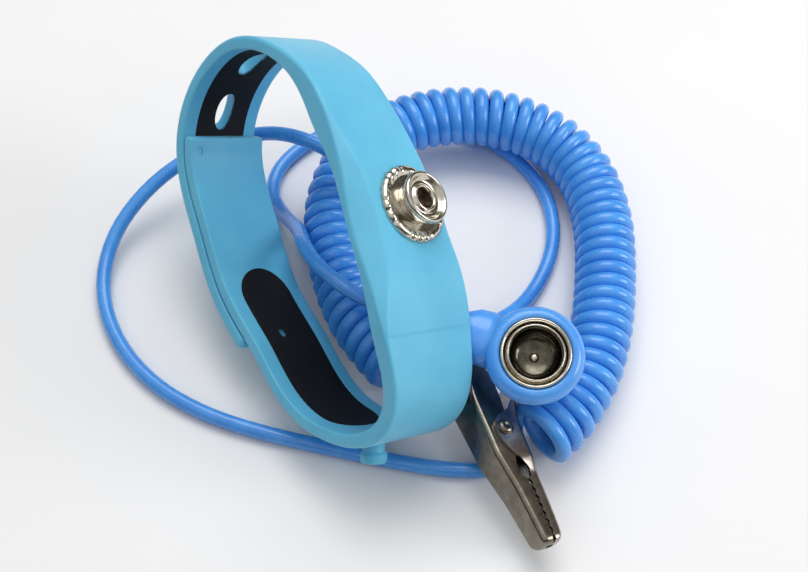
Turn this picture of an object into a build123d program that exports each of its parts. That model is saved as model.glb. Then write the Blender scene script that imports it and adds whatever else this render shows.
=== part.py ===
from build123d import *
import math
import os

# ESD wrist strap: silicone band with a press stud, one cord that is curly in its middle, a snap
# housing on the cord's near end and a crocodile clip on its far end.
# Millimetres, +Z up. The origin is the bottom centre of the band's bounding box, on the table.

os.makedirs("parts", exist_ok=True)

# ---------------------------------------------------------------- driving dimensions: band
BAND_WIDTH = 14.0
STRAP_T = 1.9                 # thickness of one strap
LAP_GAP = 0.2                 # air between the two lapped straps
LINING_T = 0.3                # conductive lining and pad, let into the silicone
HEAD_T = 3.4                  # thickness of the head that carries the stud
HEAD_BEVEL = 2.2
CLEARANCE = 0.1               # gap at a cut between two pieces of the band
PAD_MARGIN = 2.5              # strap left bare beside the pad
LINING_MARGIN = 2.2           # strap left bare beside the lining
STRIP_STEP = 3.0              # spacing of the points that a length of strap is drawn through

# Inner outline of the loop in its own plane, from the raised far end over the head.
LOOP_POINTS = [
    (26.7, 0.0), (17.8, 10.3), (7.3, 12.6), (0.0, 12.4), (-6.6, 11.5), (-16.5, 9.5),
    (-28.4, 0.0), (-20.9, -12.1), (-9.2, -15.9), (0.0, -17.5), (9.5, -16.5), (22.2, -12.8),
]
LOOP_CENTRE = (-2.27, -3.71, 26.02)
LOOP_LONG = (-0.377, 0.878, 0.296)     # the loop's long direction: its far end is raised
LOOP_AXIS = (0.690, 0.479, -0.543)     # across the band: the loop leans over on its far rim

# Places round the loop, as length along the inner outline.
HEAD_START = 16.8
HEAD_END = 52.8
STUD_AT = 36.4
STUD_ACROSS = 7.6
FREE_PEG_AT = 70.2
TAIL_AT = 93.2
PAD_START = 72.0
PAD_END = 103.4
FLEX_AT = 104.6               # where the inner strap's end bends away
CUT_END = 125.0
LINING_START = 95.0
LINING_END = 5.0              # past the start of the inner outline
FIRST_HOLE = 136.9
HOLE_PITCH = 8.6
HOLES = 5
HOLE_LENGTH = 6.0
HOLE_WIDTH = 4.2
PEG_HOLE = 2                  # index of the hole that the fastened peg sits in
PEG_NECK_R = 1.5
PEG_HEAD_R = 1.95
PEG_HEAD_T = 1.7
PEG_ROOT = 0.4                # how far a peg's neck is sunk into its strap
PEG_SLACK = 0.2
FREE_PEG_NECK = 2.3

SNUG = 0.02                   # gap round a piece that is held tight

# ---------------------------------------------------------------- driving dimensions: stud
FLANGE_R = 5.6
FLANGE_T = 0.9
FLANGE_TEETH = 36
NOTCH_R = 0.16
POST_R = 3.5
POST_T = 2.4
POST_HOLE_R = 1.4
POST_FLOOR = 0.8              # metal left under the hole in the post
RIVET_R = 1.3
BACK_PLATE_R = 5.0
BACK_PLATE_T = 0.6

# ---------------------------------------------------------------- driving dimensions: snap housing
HOUSING_R = 7.1
HOUSING_T = 6.0
SHELL_SPLIT = 2.6             # height of the joint line above the underside
WALL = 1.1
HOUSING_FACE = (31.2, -18.9, 18.5)
HOUSING_TILT = 20.0           # towards the near side
CUP_R = 5.15
CUP_MOUTH_R = 4.4
SOCKET_R = 3.6
SOCKET_DEPTH = 2.2
LIP_T = 0.7
CUP_FLOOR_T = 0.5
CUP_RIM = 0.35                # how far the cup stands out of the housing
RING_WIRE_R = 0.26
NUB_R = 0.7
TAG_R = 2.6
TAG_T = 0.35
CHIP_SIZE = (3.2, 1.6, 0.55)
NECK_ROOT_R = 2.6
NECK_END_R = 2.0
NECK_LENGTH = 7.3
NECK_SUNK = 1.2               # how far the neck's root is sunk into the housing
NECK_TURN = 158.0             # direction of the neck about the housing's axis
NECK_LEVEL = 2.7              # height of the neck's axis above the underside

# ---------------------------------------------------------------- driving dimensions: cord
WIRE_D = 2.3
COIL_D = 9.6

# ---------------------------------------------------------------- driving dimensions: clip
CLIP_TAIL = (22.6, -15.6, 9.0)
CLIP_TIP = (32.7, -41.7, 4.2)
CLIP_ROLL = 22.0
CLIP_LENGTH = 28.0
JAW_WIDTH = 5.0
SHEET_T = 0.45
EAR_GAP = 0.08                # between the moving jaw's ears and the fixed jaw
PIVOT = (10.8, -0.6)
PIN_R = 0.8
PIN_SLACK = 0.06
RIVET_HEAD_R = 1.15
RIVET_HEAD_T = 0.5
BITE_START = 16.2
BITE_PITCH = 1.3
BITE_DEPTH = 0.75
CRIMP_R = 1.75
CRIMP_LENGTH = 4.2
SPRING_R = 1.35
SPRING_WIRE_R = 0.22
SPRING_TURNS = 4

# Route of the cord, from the housing's neck to the clip, in three stretches.
TAIL_ROUTE = [
    (18.96, -13.12, 17.09), (15.7, -11.9, 17.3), (12.6, -11.5, 15.6), (11.0, -11.9, 12.5),
    (10.8, -12.6, 9.2),
]
COIL_ROUTE = [
    (12.4, -12.9, 4.9), (8.4, -8.1, 4.9), (5.0, -1.7, 4.9), (2.4, 7.7, 4.9), (1.7, 17.1, 5.3),
    (4.2, 24.6, 6.5), (8.9, 30, 7.6), (14.4, 32.7, 7.8), (20.9, 34.2, 7.8), (28.9, 33.6, 7.8),
    (37.1, 30.6, 6.5), (42.5, 24.6, 5.2), (44.7, 15.6, 4.9), (44.5, 6.7, 4.9), (43.2, -4.5, 4.9),
    (40.8, -13.3, 4.9), (37.1, -19.6, 4.9), (32.5, -23.8, 4.9),
]
LEAD_ROUTE = [
    (32.6, -23.9, 1.9), (29.6, -26.3, 1.25), (25.2, -28.0, 1.2), (18.8, -27.8, 1.2),
    (10.2, -26.2, 1.2), (0.7, -23.9, 1.2), (-8.3, -21.6, 1.2), (-16.9, -18.4, 1.2),
    (-24.8, -13.3, 1.2), (-31.0, -5.7, 1.2), (-34.4, 3.8, 1.4), (-33.2, 12.6, 3.5),
    (-28.6, 19.0, 6.3), (-22.6, 23.8, 8.4), (-16.2, 26.6, 9.6), (-10.4, 26.4, 12.2),
    (-4.8, 23.6, 15.3), (1.2, 20.0, 16.0), (7.4, 16.6, 13.8), (13.2, 12.8, 10.6),
    (17.4, 7.8, 8.2), (19.6, 2.6, 7.6), (18.3, -2.9, 8.6), (14.1, -6.5, 10.8),
    (8.5, -7.0, 13.0), (3.7, -4.1, 13.6), (0.0, 0.1, 13.0), (-2.2, 5.4, 10.8),
    (-3.2, 11.0, 7.2), (-6.0, 16.6, 3.2), (-8.6, 22.0, 1.3), (-8.2, 27.6, 1.2),
    (-5.0, 32.2, 1.2), (-0.4, 36.0, 1.2), (5.0, 38.6, 1.2), (11.0, 39.7, 1.2),
    (17.2, 39.2, 1.2), (23.2, 37.0, 1.2), (28.8, 33.4, 1.2), (33.2, 28.9, 1.2),
    (36.2, 23.6, 1.2), (37.3, 17.7, 1.2), (36.9, 11.9, 1.2), (35.0, 7.2, 1.3),
    (32.2, 3.7, 1.9), (28.9, 1.1, 3.3), (25.8, -0.7, 5.4), (23.0, -3.0, 7.5),
    (21.4, -6.9, 9.3), (20.9, -11.2, 9.8), (22.6, -15.6, 9.0),
]


# ---------------------------------------------------------------- helpers
BASE = (Align.CENTER, Align.CENTER, Align.MIN)


def save(node, shape):
    """Writes one named node."""
    shape.label = node
    export_step(shape, f"parts/{node}.step")
    print(f"{node:24s} {shape.volume:10.2f} mm3")


def disc(radius, height, level=0.0):
    """Cylinder that stands on a level."""
    return Pos(0, 0, level) * Cylinder(radius, height, align=BASE)


def unit(vector):
    v = Vector(*vector)
    return v / v.length


axis_dir = unit(LOOP_AXIS)
long_dir = unit(Vector(*LOOP_LONG) - axis_dir * Vector(*LOOP_LONG).dot(axis_dir))
LOOP_PLANE = Plane(origin=LOOP_CENTRE, x_dir=long_dir, z_dir=axis_dir)
LOOP = Spline(*LOOP_POINTS, periodic=True)
LOOP_LENGTH = LOOP.length


def on_loop(length, offset=0.0):
    """Point of the loop's plane at a length along the inner outline, and its outward normal."""
    part = (length % LOOP_LENGTH) / LOOP_LENGTH
    point = LOOP.position_at(part)
    tangent = LOOP.tangent_at(part)
    normal = Vector(tangent.Y, -tangent.X)
    return point + normal * offset, normal


def strip(start, end, low, high, across=0.0, width=BAND_WIDTH):
    """A length of strap between two offsets from the inner outline, in the loop's own plane."""
    count = max(4, int((end - start) / STRIP_STEP))
    lengths = [start + (end - start) * i / count for i in range(count + 1)]
    inner = [on_loop(length, low)[0] for length in lengths]
    outer = [on_loop(length, high)[0] for length in lengths]
    edges = [Spline(*inner), Line(inner[-1], outer[-1]), Spline(*outer), Line(outer[0], inner[0])]
    face = make_face(edges).face()
    if face.normal_at().Z < 0:
        face = -face
    return Pos(0, 0, across) * extrude(face, width)


def place_at(length, offset, across):
    """Location on the strap: Z is the outward normal, X runs along the strap."""
    point, normal = on_loop(length, offset)
    x_dir = Vector(-normal.Y, normal.X, 0)
    spot = Vector(point.X, point.Y, across)
    return Plane(origin=spot, x_dir=x_dir, z_dir=Vector(normal.X, normal.Y, 0)).location


def in_world(shape):
    """Moves a shape from the loop's plane to its place on the table."""
    return LOOP_PLANE.location * shape


def peg(length, neck):
    """Mushroom peg with a domed head, standing on the inner strap."""
    head = disc(PEG_HEAD_R, PEG_HEAD_T, neck + PEG_ROOT)
    head = fillet(head.edges().group_by(Axis.Z)[-1], 0.6)
    shape = disc(PEG_NECK_R, neck + PEG_ROOT) + head
    return place_at(length, STRAP_T - PEG_ROOT, BAND_WIDTH / 2) * shape


def arc_radii(points):
    """Radius at each inner point: 0.45 of the shorter run over the tangent of half the turn."""
    radii = []
    for before, point, after in zip(points[:-2], points[1:-1], points[2:]):
        first = Vector(*point) - Vector(*before)
        second = Vector(*after) - Vector(*point)
        half_turn = math.radians(first.get_angle(second)) / 2
        radii.append(0.45 * min(first.length, second.length) / math.tan(half_turn))
    return radii


def tube(points, diameter, name):
    """Round tube along straight runs joined by tangent arcs."""
    radii = arc_radii(points)
    path = FilletPolyline(*points, radius=radii)
    start = Plane(origin=path @ 0, z_dir=path % 0)
    solid = sweep(start * Circle(diameter / 2), path=path)
    ideal = math.pi * diameter ** 2 / 4 * path.length
    print(f"{name}: length {path.length:.1f}, least radius {min(radii):.1f},"
          f" volume ratio {solid.volume / ideal:.4f}")
    print("   radii", [round(r) for r in radii])
    return solid


# ---------------------------------------------------------------- band
def make_band():
    """Head with its bevels, the near bend and the lower strap up to where its end flexes."""
    head = strip(HEAD_START, HEAD_END, 0, HEAD_T)
    long_edges = [
        e for e in head.edges()
        if e.length > 20 and e.position_at(0.5).Y > on_loop(STUD_AT, HEAD_T / 2)[0].Y
    ]
    head = chamfer(long_edges, HEAD_BEVEL)
    overlap = 1.0
    body = head + strip(HEAD_END - overlap, FLEX_AT, 0, STRAP_T)
    body -= pad_strip(-overlap)
    stud_spot = place_at(STUD_AT, 0, STUD_ACROSS)
    body -= stud_spot * Cylinder(RIVET_R + SNUG, 4 * HEAD_T)
    body -= stud_spot * disc(BACK_PLATE_R + SNUG, BACK_PLATE_T + overlap, -overlap)
    return body


def pad_strip(low):
    """The pad, or with a lower inner side the recess that it sits in."""
    return strip(PAD_START, PAD_END, low, LINING_T, PAD_MARGIN, BAND_WIDTH - 2 * PAD_MARGIN)


def lining_strip(low):
    """The lining, or with a lower inner side the recess that it sits in."""
    high = STRAP_T + LAP_GAP + LINING_T
    width = BAND_WIDTH - 2 * LINING_MARGIN
    return strip(LINING_START, LOOP_LENGTH + LINING_END, low, high, LINING_MARGIN, width)


def hole_cutters():
    slot = extrude(SlotOverall(HOLE_LENGTH, HOLE_WIDTH), 2 * STRAP_T, both=True)
    spots = [FIRST_HOLE - i * HOLE_PITCH for i in range(HOLES)]
    return [place_at(spot, LAP_GAP + STRAP_T, BAND_WIDTH / 2) * slot for spot in spots]


def make_holed_strap():
    low = STRAP_T + LAP_GAP
    far = LOOP_LENGTH + HEAD_START - CLEARANCE
    strap = strip(TAIL_AT, far, low, low + STRAP_T) - lining_strip(low - 1)
    for cutter in hole_cutters():
        strap -= cutter
    return strap


def make_lining():
    lining = lining_strip(STRAP_T + LAP_GAP)
    for cutter in hole_cutters():
        lining -= cutter
    return lining


def make_stud():
    """Flange with a knurled rim, rolled post, rivet and the plate that touches the wrist."""
    rivet_hole = Cylinder(RIVET_R + SNUG / 2, 4 * HEAD_T)
    flange = disc(FLANGE_R, FLANGE_T) - rivet_hole
    notch = Cylinder(NOTCH_R, 3 * FLANGE_T)
    for i in range(FLANGE_TEETH):
        flange -= Rot(0, 0, 360 * i / FLANGE_TEETH) * Pos(FLANGE_R, 0, 0) * notch
    post = disc(POST_R, POST_T, FLANGE_T)
    post = fillet(post.edges().group_by(Axis.Z)[-1], 0.7) - rivet_hole
    post -= disc(POST_HOLE_R, POST_T, FLANGE_T + POST_FLOOR)
    rivet = disc(RIVET_R, HEAD_T - BACK_PLATE_T + FLANGE_T + POST_FLOOR, BACK_PLATE_T - HEAD_T)
    plate = disc(BACK_PLATE_R, BACK_PLATE_T, -HEAD_T)
    spot = place_at(STUD_AT, HEAD_T, STUD_ACROSS)
    return [spot * shape for shape in (flange, post, rivet, plate)]


# ---------------------------------------------------------------- snap housing
HOUSING_PLANE = Plane(
    origin=HOUSING_FACE,
    x_dir=(1, 0, 0),
    z_dir=(0, -math.sin(math.radians(HOUSING_TILT)), math.cos(math.radians(HOUSING_TILT))),
)
HOUSING_BASE = HOUSING_PLANE.location * Pos(0, 0, -HOUSING_T)


def make_housing():
    """Two glued shells, both hollow, in the housing's own frame with the underside at zero."""
    outer = disc(HOUSING_R, HOUSING_T)
    outer = fillet(outer.edges().group_by(Axis.Z)[-1], 1.6)
    outer = fillet(outer.edges().group_by(Axis.Z)[0], 1.2)
    neck_way = Rot(0, 0, NECK_TURN) * Pos(0, 0, NECK_LEVEL) * Rot(0, 90, 0)
    neck = Cone(NECK_ROOT_R, NECK_END_R, NECK_LENGTH, align=BASE)
    body = outer + neck_way * Pos(0, 0, HOUSING_R - NECK_SUNK) * neck
    body -= disc(HOUSING_R - WALL, HOUSING_T - 2 * WALL, WALL)
    body -= neck_way * disc(WIRE_D / 2 + SNUG, 2 * HOUSING_R + NECK_LENGTH)
    body -= disc(CUP_R + SNUG, HOUSING_T, HOUSING_T - 2 * WALL)
    block = 4 * HOUSING_R
    upper = body & Pos(0, 0, SHELL_SPLIT) * Box(block, block, block, align=BASE)
    lower = body & Pos(0, 0, SHELL_SPLIT - block) * Box(block, block, block, align=BASE)
    return upper, lower


def make_socket():
    """Turned cup, its wire spring ring, the nub in its floor and the solder tag under it."""
    floor_level = HOUSING_T - SOCKET_DEPTH - LIP_T - CUP_FLOOR_T
    mouth_level = HOUSING_T - LIP_T
    cup = disc(CUP_R, HOUSING_T - floor_level + CUP_RIM, floor_level)
    cup = fillet(cup.edges().group_by(Axis.Z)[-1], 0.45)
    cup -= disc(CUP_MOUTH_R, HOUSING_T, mouth_level)
    cup -= disc(SOCKET_R, HOUSING_T, floor_level + CUP_FLOOR_T)
    ring_level = mouth_level + RING_WIRE_R + SNUG
    ring = Pos(0, 0, ring_level) * Torus(CUP_MOUTH_R - RING_WIRE_R - 2 * SNUG, RING_WIRE_R)
    nub = disc(NUB_R, CUP_FLOOR_T, floor_level)
    tag = disc(TAG_R, TAG_T, floor_level - TAG_T)
    return cup - nub, ring, nub, tag


def make_resistor():
    """One-megohm chip resistor that joins the cord to the socket, on the floor of the housing."""
    chip = Pos(0, 0, WALL + SNUG) * Box(*CHIP_SIZE, align=BASE)
    return Rot(0, 0, NECK_TURN) * Pos(2.5, 0, 0) * fillet(chip.edges().filter_by(Axis.Z), 0.15)


# ---------------------------------------------------------------- clip
def clip_plane():
    tail = Vector(*CLIP_TAIL)
    x_dir = (Vector(*CLIP_TIP) - tail).normalized()
    side = Vector(-x_dir.Y, x_dir.X, 0).normalized()
    up = x_dir.cross(side)
    if up.Z < 0:
        up = -up
    roll = math.radians(CLIP_ROLL)
    z_dir = up * math.cos(roll) + side * math.sin(roll)
    return Plane(origin=tail, x_dir=x_dir, z_dir=z_dir)


CLIP_PLANE = clip_plane()


def channel(profile, width, edge_out):
    """U-channel pressed from sheet: a profile with its back kept and its open side cut away."""
    face = make_face(Polyline(*profile, close=True))
    block = extrude(face, width / 2, both=True)
    inner = extrude(face, width / 2 - SHEET_T, both=True)
    return block - Pos(0, edge_out, 0) * inner


def bite_points(side):
    """Zigzag of bite points along a jaw's edge, from the pivot's side to the tip."""
    gap = 0.05
    points = []
    for i in range(int((CLIP_LENGTH - 1.0 - BITE_START) / BITE_PITCH)):
        start = BITE_START + i * BITE_PITCH
        points.append((start, side * gap))
        points.append((start + BITE_PITCH / 2, side * BITE_DEPTH))
    return points + [(CLIP_LENGTH, side * gap)]


def make_jaws():
    """Fixed jaw with the tail, and moving jaw with its wide ears and thumb tab."""
    px, py = PIVOT
    fixed_side = bite_points(-1) + [
        (CLIP_LENGTH, -1.3), (20, -2.5), (14, -3.4), (6, -3.4), (2.5, -2.0), (1.0, -1.85),
        (1.0, -1.3), (4.6, -0.9), (px - 2.2, py + 0.6), (px - 1.1, py + 1.5), (px + 1.1, py + 1.5),
        (px + 2.6, py + 0.5),
    ]
    front = bite_points(1) + [(CLIP_LENGTH, 1.2), (17.6, 2.1), (15.4, 2.1), (15.4, 0.9)]
    ears = [
        (17.6, 2.1), (16.1, 0.1), (13.9, -1.3), (px + 0.9, -2.2), (px - 0.7, -2.2),
        (px - 1.8, -1.2), (px - 2.2, 0.8), (3.6, 4.6), (3.6, 5.3), (9.4, 2.3), (13.5, 2.1),
    ]
    ear_width = JAW_WIDTH + 2 * (SHEET_T + EAR_GAP)
    pivot = Pos(px, py, 0)
    fixed = channel(fixed_side, JAW_WIDTH, SHEET_T) - pivot * Cylinder(PIN_R, 20)
    moving = channel(front, JAW_WIDTH, -SHEET_T) + channel(ears, ear_width, -SHEET_T)
    moving -= pivot * Cylinder(PIN_R + PIN_SLACK, 20)
    return fixed, moving


def make_pin():
    """Pivot pin with a riveted head on each end."""
    half = JAW_WIDTH / 2 + SHEET_T + EAR_GAP
    head = disc(RIVET_HEAD_R, RIVET_HEAD_T, half + SNUG)
    pin = Cylinder(PIN_R, 2 * half + RIVET_HEAD_T) + head + Rot(180, 0, 0) * head
    return Pos(*PIVOT, 0) * pin


def make_crimp():
    return Rot(0, 90, 0) * disc(CRIMP_R, CRIMP_LENGTH)


def make_spring():
    """Torsion spring round the pin, as its close turns."""
    turn = Torus(SPRING_R, SPRING_WIRE_R)
    first = -SPRING_WIRE_R * (SPRING_TURNS - 1)
    turns = [Pos(*PIVOT, first + 2 * SPRING_WIRE_R * i) * turn for i in range(SPRING_TURNS)]
    return Compound(children=turns)


# ---------------------------------------------------------------- build and write
def main():
    save("band_body", in_world(make_band()))
    save("holed_strap", in_world(make_holed_strap()))
    save("strap_lining", in_world(make_lining()))
    save("wrist_pad", in_world(pad_strip(0)))
    save("strap_end", in_world(strip(FLEX_AT + CLEARANCE, CUT_END, 0, STRAP_T)))
    peg_spot = FIRST_HOLE - PEG_HOLE * HOLE_PITCH
    save("fastened_peg", in_world(peg(peg_spot, LAP_GAP + STRAP_T + PEG_SLACK)))
    save("free_peg", in_world(peg(FREE_PEG_AT, FREE_PEG_NECK)))
    names = ("stud_flange", "stud_post", "stud_rivet", "wrist_plate")
    for name, shape in zip(names, make_stud()):
        save(name, in_world(shape))

    upper, lower = make_housing()
    save("housing_upper", HOUSING_BASE * upper)
    save("housing_lower", HOUSING_BASE * lower)
    for name, shape in zip(("socket_cup", "socket_spring_ring", "socket_nub", "solder_tag"),
                           make_socket()):
        save(name, HOUSING_BASE * shape)
    save("safety_resistor", HOUSING_BASE * make_resistor())

    save("cord_snap_tail", tube(TAIL_ROUTE, WIRE_D, "snap tail"))
    save("cord_coil", tube(COIL_ROUTE, COIL_D, "coil"))
    save("cord_lead", tube(LEAD_ROUTE, WIRE_D, "lead"))

    fixed, moving = make_jaws()
    clip = CLIP_PLANE.location
    save("clip_fixed_jaw", clip * fixed)
    save("clip_moving_jaw", clip * moving)
    save("clip_pivot_pin", clip * make_pin())
    save("clip_crimp", clip * make_crimp())
    save("clip_spring", clip * make_spring())


main()
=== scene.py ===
import math

import bmesh
import bpy
import numpy as np
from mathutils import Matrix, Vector


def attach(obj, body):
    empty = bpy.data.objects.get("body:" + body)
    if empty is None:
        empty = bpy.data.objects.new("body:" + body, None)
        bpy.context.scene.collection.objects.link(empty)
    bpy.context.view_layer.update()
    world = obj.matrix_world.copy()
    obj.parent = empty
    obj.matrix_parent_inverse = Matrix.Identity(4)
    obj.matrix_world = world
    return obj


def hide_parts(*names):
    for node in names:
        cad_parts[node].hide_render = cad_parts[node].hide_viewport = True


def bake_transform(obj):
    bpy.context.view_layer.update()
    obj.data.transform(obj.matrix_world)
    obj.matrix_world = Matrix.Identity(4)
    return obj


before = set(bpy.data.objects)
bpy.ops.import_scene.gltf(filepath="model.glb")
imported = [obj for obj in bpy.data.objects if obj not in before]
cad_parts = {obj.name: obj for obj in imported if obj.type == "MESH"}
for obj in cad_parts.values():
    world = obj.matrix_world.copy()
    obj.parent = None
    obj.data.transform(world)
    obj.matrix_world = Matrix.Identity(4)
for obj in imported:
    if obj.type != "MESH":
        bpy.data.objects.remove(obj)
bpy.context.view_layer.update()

MM = 0.001

# ---------------------------------------------------------------- sizes, in millimetres and degrees
# The band's outline and most sizes are the CAD's. Some are the look's own: the two bends, the widened
# head, the holes' width, the free peg's place, the pad's end, the housing's radius, the jaws' outlines
# and the cord's way into and out of the coil.
BAND_WIDTH = 14.0
STRAP_T = 1.9
LAP_GAP = 0.2
LINING_T = 0.3
PAD_HOLE_AT = 92.7
PAD_HOLE_R = 0.5
PAD_HOLE_ACROSS = 5.8
NEAR_BEND_OUT = 1.1           # how far the near bend lies outside the CAD's outline
FAR_BEND_IN = 0.9             # how far the far bend lies inside it
HEAD_T = 3.4
LOOP_POINTS = np.array([
    (26.7, 0.0), (17.8, 10.3), (7.3, 12.6), (0.0, 12.4), (-6.6, 11.5), (-16.5, 9.5),
    (-28.4, 0.0), (-20.9, -12.1), (-9.2, -15.9), (0.0, -17.5), (9.5, -16.5), (22.2, -12.8),
])
LOOP_CENTRE = np.array((-2.27, -3.71, 26.02))
LOOP_LONG = np.array((-0.377, 0.878, 0.296))
LOOP_AXIS = np.array((0.690, 0.479, -0.543))
HEAD_END = 52.8               # places round the loop, from here on, as length along its outline
STUD_AT = 36.4
STUD_ACROSS = 7.6
FREE_PEG_AT = 71.4
TAIL_AT = 93.2
PAD_START = 72.0
PAD_END = 104.2
FLEX_AT = 104.6
CUT_END = 125.0
FIRST_HOLE = 136.9
HOLE_PITCH = 8.6
HOLES = 5
HOLE_LENGTH = 6.0
HOLE_WIDTH = 3.1
PEG_HOLE = 2                  # the hole that the fastened peg is in, counted from 0
HOUSING_R = 7.0
HOUSING_T = 6.0
HOUSING_FACE = np.array((31.2, -18.9, 18.5))
HOUSING_TILT = 20.0
CUP_R = 5.0
NECK_TURN = 158.0
NECK_LEVEL = 2.7
NECK_REACH = 13.2             # from the housing's axis to the neck's end
WIRE_D = 2.3
COIL_D = 9.6
COIL_TURNS = 60
CLIP_TAIL = np.array((22.6, -15.6, 9.0))
CLIP_TIP = np.array((32.7, -41.7, 4.2))
CLIP_ROLL = 22.0
CLIP_LENGTH = 28.0
SHEET_T = 0.45
PIVOT = (10.8, -0.6)          # from the clip's tail: along it, and towards its opening side
EAR_STEP = 0.52               # how far the moving jaw's ears stand outside the fixed jaw

# The cord's route, from the housing's boot through the coil to the crimp.
TAIL_ROUTE = [
    (18.96, -13.12, 17.09), (15.7, -11.9, 17.3), (12.9, -11.3, 15.9), (12.4, -10.9, 12.8),
    (13.8, -10.4, 9.6), (14.9, -10.0, 6.8),
]
OUT_OF_COIL = [(29.3, -21.3, 3.7), (29.1, -22.6, 2.0), (28.4, -24.4, 1.25), (27.2, -26.3, 1.2)]
COIL_ROUTE = [
    (12.4, -12.9, 4.9), (8.4, -8.1, 4.9), (5.0, -1.7, 4.9), (2.4, 7.7, 4.9), (1.7, 17.1, 5.3),
    (4.2, 24.6, 6.5), (8.9, 30.0, 7.6), (14.4, 32.7, 7.8), (20.9, 34.2, 7.8), (28.9, 33.6, 7.8),
    (37.1, 30.6, 6.5), (42.5, 24.6, 5.2), (44.7, 15.6, 4.9), (44.5, 6.7, 4.9), (43.2, -4.5, 4.9),
    (40.8, -13.3, 4.9), (37.4, -19.4, 4.9), (34.2, -22.9, 4.9), (30.6, -25.6, 4.9),
]
LEAD_ROUTE = [
    (25.2, -28.0, 1.2), (18.8, -27.8, 1.2), (10.2, -26.2, 1.2), (0.7, -23.9, 1.2),
    (-8.3, -21.6, 1.2), (-16.9, -18.4, 1.2),
    (-24.8, -13.3, 1.2), (-31.0, -5.7, 1.2), (-34.4, 3.8, 1.4), (-33.2, 12.6, 3.5),
    (-28.6, 19.0, 6.3), (-22.6, 23.8, 8.4), (-16.2, 26.6, 9.6), (-10.4, 26.4, 12.2),
    (-4.8, 23.6, 15.3), (1.2, 20.0, 16.0), (7.4, 16.6, 13.8), (13.2, 12.8, 10.6),
    (17.4, 7.8, 8.2), (19.6, 2.6, 7.6), (18.3, -2.9, 8.6), (14.1, -6.5, 10.8),
    (8.5, -7.0, 13.0), (3.7, -4.1, 13.6), (0.0, 0.1, 13.0), (-2.2, 5.4, 10.8),
    (-3.2, 11.0, 7.2), (-6.0, 16.6, 3.2), (-8.6, 22.0, 1.3), (-8.2, 27.6, 1.2),
    (-5.0, 32.2, 1.2), (-0.4, 36.0, 1.2), (5.0, 38.6, 1.2), (11.0, 39.7, 1.2),
    (17.2, 39.2, 1.2), (23.2, 37.0, 1.2), (28.8, 33.4, 1.2), (33.2, 28.9, 1.2),
    (36.2, 23.6, 1.2), (37.3, 17.7, 1.2), (36.9, 11.9, 1.2), (35.2, 6.8, 1.2),
    (32.7, 2.2, 1.4), (30.0, -1.4, 2.6), (27.0, -4.6, 4.6), (24.0, -7.4, 7.2),
    (21.8, -9.9, 9.0), (21.5, -12.6, 9.4), (22.6, -15.6, 9.0),
]


# ---------------------------------------------------------------- camera
IMAGE_WIDTH = 808             # of the picture, in pixels; the focal length is in the same unit
FOCAL_LENGTH = 1400
CAMERA_TARGET = np.array((13.1, 4.8, 0.6))
CAMERA_ELEVATION = 55.0
CAMERA_DISTANCE = 220.0


def add_camera(target, elevation, distance):
    """Camera in front of the object, looking along +Y and down."""
    tilt = math.radians(elevation)
    place = target - distance * np.array((0, math.cos(tilt), -math.sin(tilt)))
    data = bpy.data.cameras.new("camera")
    data.sensor_width = 36.0
    data.lens = FOCAL_LENGTH / IMAGE_WIDTH * data.sensor_width
    data.clip_start = 0.005
    data.clip_end = 20.0
    camera = bpy.data.objects.new("camera", data)
    camera.location = Vector(place * MM)
    camera.rotation_euler = (math.radians(90 - elevation), 0, 0)
    bpy.context.scene.collection.objects.link(camera)
    bpy.context.scene.camera = camera


add_camera(CAMERA_TARGET, CAMERA_ELEVATION, CAMERA_DISTANCE)


# ---------------------------------------------------------------- node materials
def new_material(name):
    material = bpy.data.materials.new(name)
    material.use_nodes = True
    tree = material.node_tree
    shader = tree.nodes["Principled BSDF"]
    return material, tree, shader


def noise(tree, scale, detail=2.0, roughness=0.5):
    """Noise texture on object coordinates; the scale is per metre."""
    coords = tree.nodes.new("ShaderNodeTexCoord")
    texture = tree.nodes.new("ShaderNodeTexNoise")
    texture.inputs["Scale"].default_value = scale
    texture.inputs["Detail"].default_value = detail
    texture.inputs["Roughness"].default_value = roughness
    tree.links.new(coords.outputs["Object"], texture.inputs["Vector"])
    return texture.outputs["Fac"]


def ramp(tree, value, stops):
    """Colour ramp with (position, colour) stops."""
    node = tree.nodes.new("ShaderNodeValToRGB")
    elements = node.color_ramp.elements
    while len(elements) < len(stops):
        elements.new(0.5)
    for element, (position, colour) in zip(elements, stops):
        element.position = position
        element.color = (*colour, 1.0)
    tree.links.new(value, node.inputs["Fac"])
    return node.outputs["Color"]


def remap(tree, value, low, high):
    """Maps a 0 to 1 value to a range."""
    node = tree.nodes.new("ShaderNodeMapRange")
    node.inputs["To Min"].default_value = low
    node.inputs["To Max"].default_value = high
    tree.links.new(value, node.inputs["Value"])
    return node.outputs["Result"]


def bump(tree, shader, height, strength, distance):
    """Bump from a height, with its distance in metres."""
    node = tree.nodes.new("ShaderNodeBump")
    node.inputs["Strength"].default_value = strength
    node.inputs["Distance"].default_value = distance
    tree.links.new(height, node.inputs["Height"])
    tree.links.new(node.outputs["Normal"], shader.inputs["Normal"])


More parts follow.
